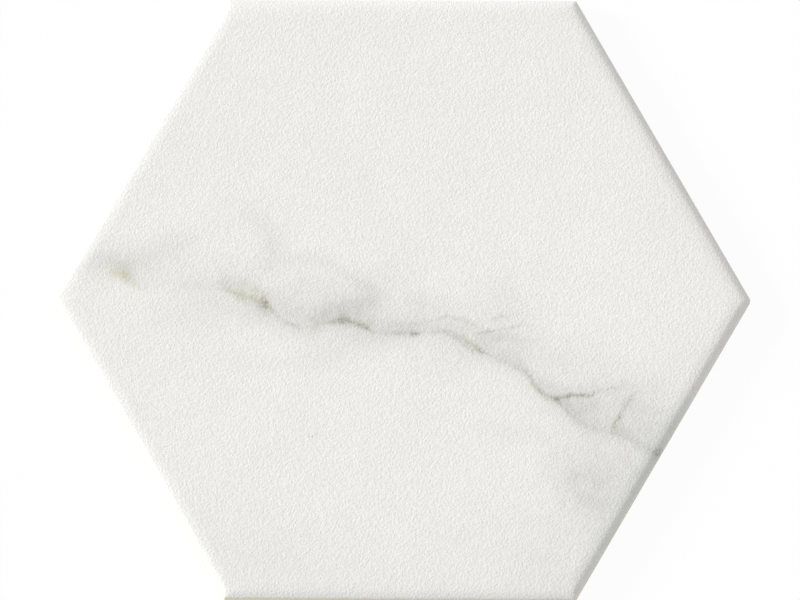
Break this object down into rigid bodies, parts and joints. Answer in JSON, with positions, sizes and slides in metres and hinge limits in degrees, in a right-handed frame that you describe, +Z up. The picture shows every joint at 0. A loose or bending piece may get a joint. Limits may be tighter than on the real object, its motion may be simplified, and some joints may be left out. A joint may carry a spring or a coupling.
{
  "type": "hexagon floor tile",
  "caption": "Flat hexagonal porcelain floor tile with a softly pillowed edge, a stone-veined matte face and a shallow honeycomb key on its back.",
  "frame": {"origin": "centre of the back, which lies on the floor", "axes": "+Z up out of the face; +X and -X through two opposite corners; +Y and -Y square to two parallel sides"},
  "size_m": [0.2654, 0.23, 0.009],
  "materials": {
    "glazed_porcelain": "matte, finely pebbled glaze in warm white with grey and olive stone veining; bare beige body on the back and the foot of the wall"
  },
  "bodies": {
    "root": {"hexagon_tile": "glazed_porcelain"}
  },
  "joints": []
}
